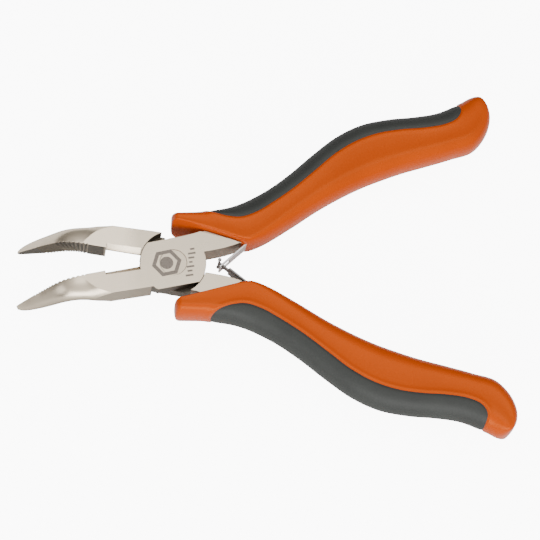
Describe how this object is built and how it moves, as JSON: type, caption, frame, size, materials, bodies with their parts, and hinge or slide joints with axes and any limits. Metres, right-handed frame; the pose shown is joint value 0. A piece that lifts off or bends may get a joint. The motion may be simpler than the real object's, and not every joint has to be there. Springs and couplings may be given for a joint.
{
  "type": "bent needle nose pliers",
  "caption": "Small spring-loaded pliers with long tapered jaws bent 40 degrees to the back, serrated tips, wire-cutting edges behind them, and curved two-colour grips.",
  "frame": {"origin": "on the pivot's axis, at the back face of the joint", "axes": "+X from the joint towards the handles, +Y towards the upper handle, +Z out of the front face; the nose bends towards -Z"},
  "size_m": [0.126, 0.0944, 0.0163],
  "materials": {
    "steel_front": "satin nickel plate over ground steel",
    "steel_back": "satin nickel plate over ground steel",
    "rivet": "ground flush with the joint",
    "spring_bright": "rolled spring steel, bright",
    "spring_dark": "tempered spring steel, dark",
    "small_rivets": "plain steel",
    "orange_shell": "glossy moulded plastic",
    "grey_inlay": "matte soft rubber"
  },
  "bodies": {
    "front_body": {"front_half": "steel_front", "pivot_rivet": "rivet", "upper_grip_shell": "orange_shell", "upper_grip_inlay": "grey_inlay", "upper_spring_rivet": "small_rivets"},
    "back_body": {"back_half": "steel_back", "lower_grip_shell": "orange_shell", "lower_grip_inlay": "grey_inlay", "lower_spring_rivet": "small_rivets"},
    "upper_leaf": {"upper_leaf_spring": "spring_bright"},
    "lower_leaf": {"lower_leaf_spring": "spring_dark"}
  },
  "joints": [
    {"name": "pivot", "type": "hinge", "parent": "front_body", "child": "back_body", "pos_m": [0, 0, 0.0032], "axis": [0, 0, 1], "range_deg": [-2, 20.8], "stiffness_Nm_per_rad": 0.9},
    {"name": "upper_leaf_flex", "type": "hinge", "parent": "front_body", "child": "upper_leaf", "pos_m": [0.0206, 0.00675, 0.0032], "axis": [0, 0, 1], "range_deg": [-13.9, 1.4], "deforming": ["upper_leaf_spring"]},
    {"name": "lower_leaf_flex", "type": "hinge", "parent": "back_body", "child": "lower_leaf", "pos_m": [0.0206, -0.00675, 0.0032], "axis": [0, 0, 1], "range_deg": [-1.4, 13.9], "deforming": ["lower_leaf_spring"]}
  ],
  "couplings": [
    {"joint": "upper_leaf_flex", "follows": "pivot", "ratio": -0.665},
    {"joint": "lower_leaf_flex", "follows": "pivot", "ratio": 0.665}
  ]
}
